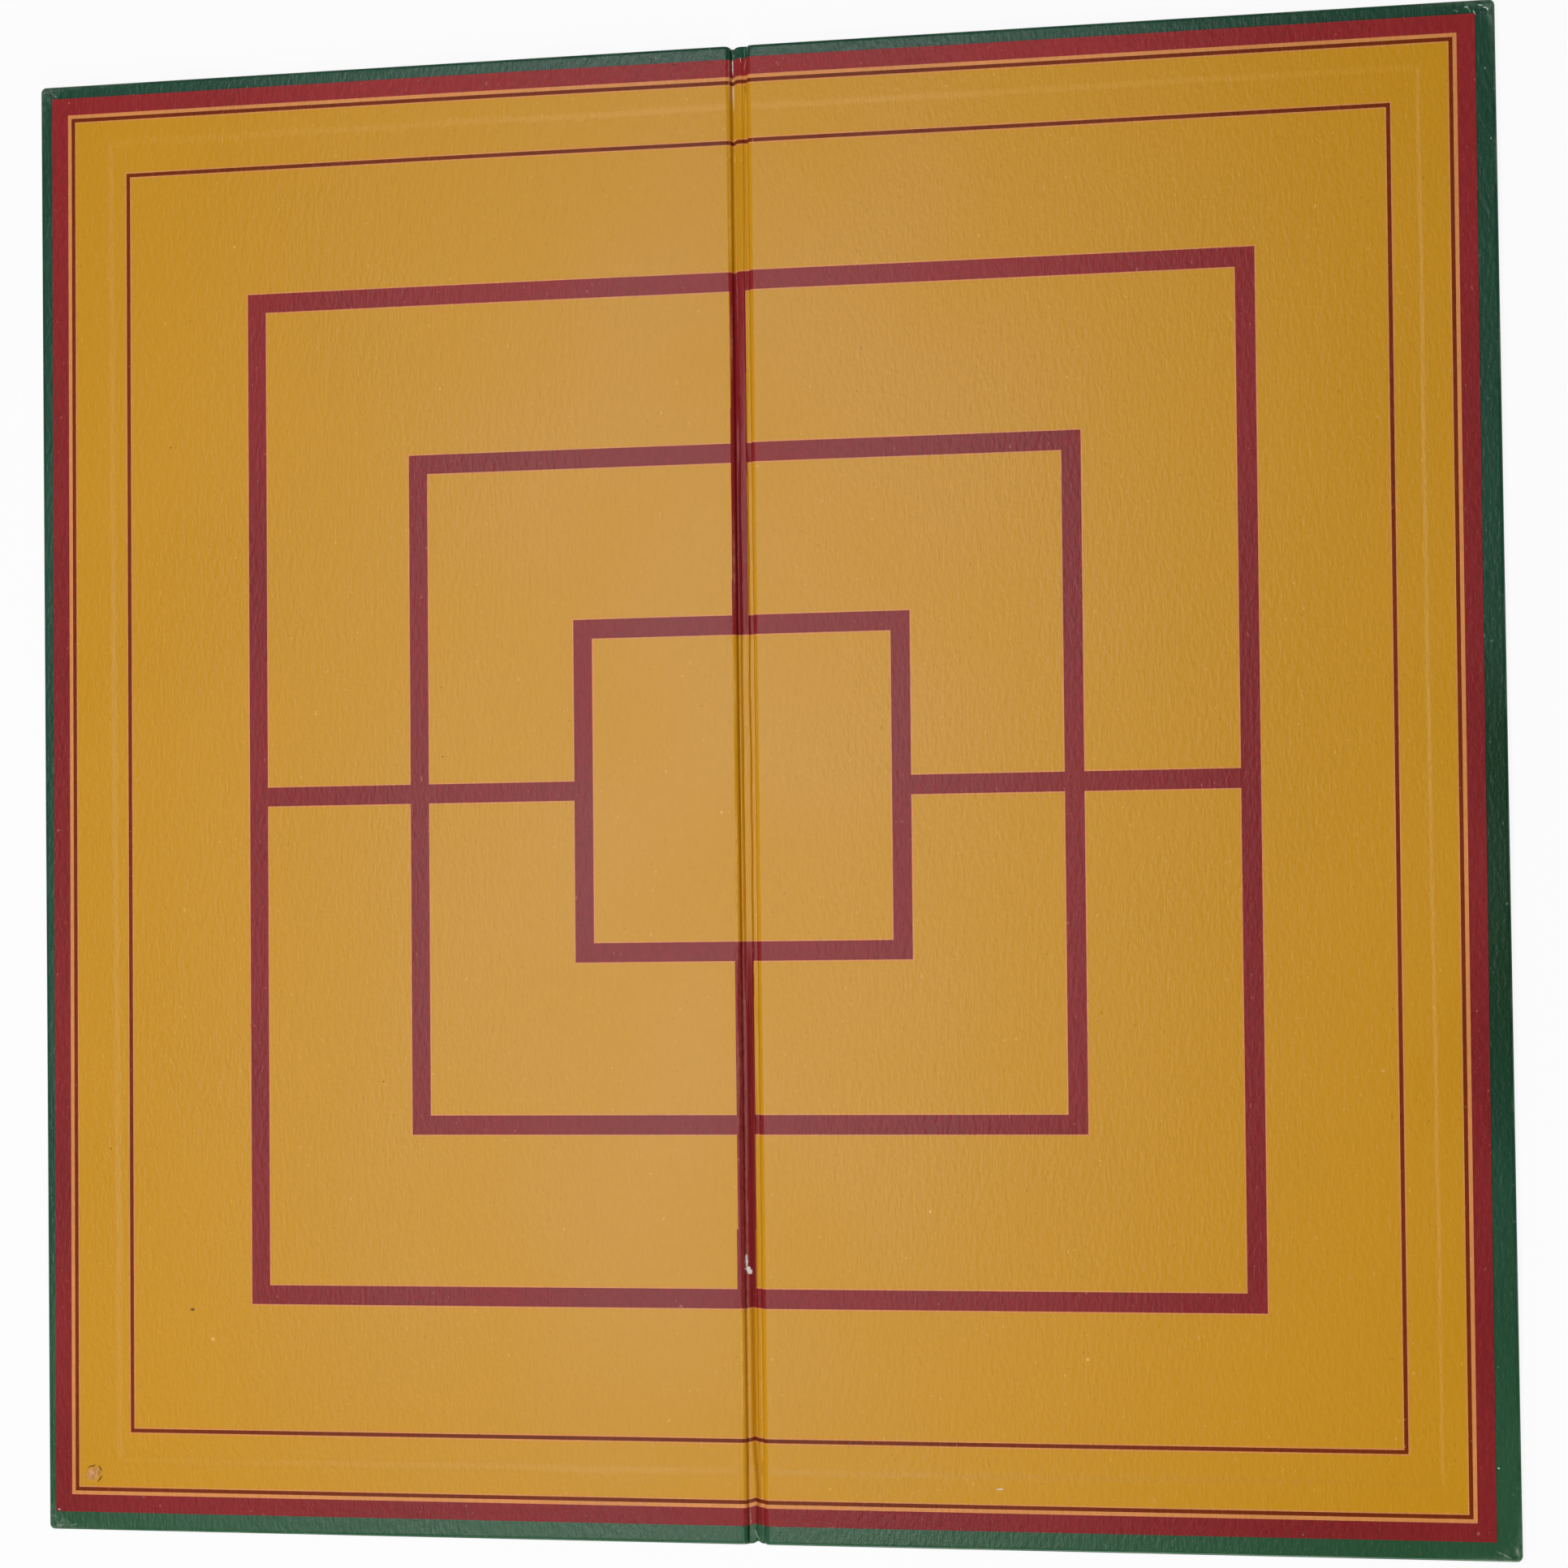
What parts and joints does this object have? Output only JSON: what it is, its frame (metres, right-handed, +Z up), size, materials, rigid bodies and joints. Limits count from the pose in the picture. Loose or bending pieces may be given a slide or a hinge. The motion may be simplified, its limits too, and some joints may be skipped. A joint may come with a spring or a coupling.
{
  "type": "folding game board",
  "caption": "Folding square board for table games, nine men's morris printed on one side and a chequered field on the other, on two paper-covered leaves with a paper fold.",
  "frame": {"origin": "middle of the open board on its underside, in the middle of the fold", "axes": "+X across the fold towards the right leaf, +Y along the fold towards the head of the board, +Z up out of the side with the mill pattern"},
  "size_m": [0.33, 0.33, 0.0021],
  "materials": {
    "greyboard": "matt grey board",
    "cover_green": "satin printed paper",
    "liner_yellow": "satin printed paper",
    "ink_yellow": "satin printed paper",
    "ink_maroon": "satin printed paper",
    "ink_light": "satin printed paper",
    "ink_dark": "satin printed paper"
  },
  "bodies": {
    "left_leaf": {"border_band_left": "ink_maroon", "cover_panel_left": "cover_green", "dark_line_left": "ink_dark", "dark_squares_left": "ink_maroon", "fore_edge_turn_in_left": "cover_green", "greyboard_left": "greyboard", "head_turn_in_left": "cover_green", "light_line_left": "ink_light", "light_squares_left": "ink_yellow", "liner_left": "liner_yellow", "mill_lines_left": "ink_maroon", "squares_frame_left": "ink_light", "tail_turn_in_left": "cover_green"},
    "fold_strip": {"border_band_fold": "ink_maroon", "cover_panel_fold": "cover_green", "dark_line_fold": "ink_dark", "dark_squares_fold": "ink_maroon", "head_turn_in_fold": "cover_green", "light_line_fold": "ink_light", "light_squares_fold": "ink_yellow", "liner_fold": "liner_yellow", "mill_lines_fold": "ink_maroon", "squares_frame_fold": "ink_light", "tail_turn_in_fold": "cover_green"},
    "right_leaf": {"border_band_right": "ink_maroon", "cover_panel_right": "cover_green", "dark_line_right": "ink_dark", "dark_squares_right": "ink_maroon", "fore_edge_turn_in_right": "cover_green", "greyboard_right": "greyboard", "head_turn_in_right": "cover_green", "light_line_right": "ink_light", "light_squares_right": "ink_yellow", "liner_right": "liner_yellow", "mill_lines_right": "ink_maroon", "squares_frame_right": "ink_light", "tail_turn_in_right": "cover_green"}
  },
  "joints": [
    {"name": "hinge_left", "type": "hinge", "parent": "left_leaf", "child": "fold_strip", "pos_m": [-0.00175, 0, 0.00045], "axis": [0, -1, 0], "range_deg": [0, 90]},
    {"name": "hinge_right", "type": "hinge", "parent": "fold_strip", "child": "right_leaf", "pos_m": [0.00175, 0, 0.00045], "axis": [0, -1, 0], "range_deg": [0, 90]}
  ],
  "couplings": [
    {"joint": "hinge_right", "follows": "hinge_left", "ratio": 1}
  ]
}
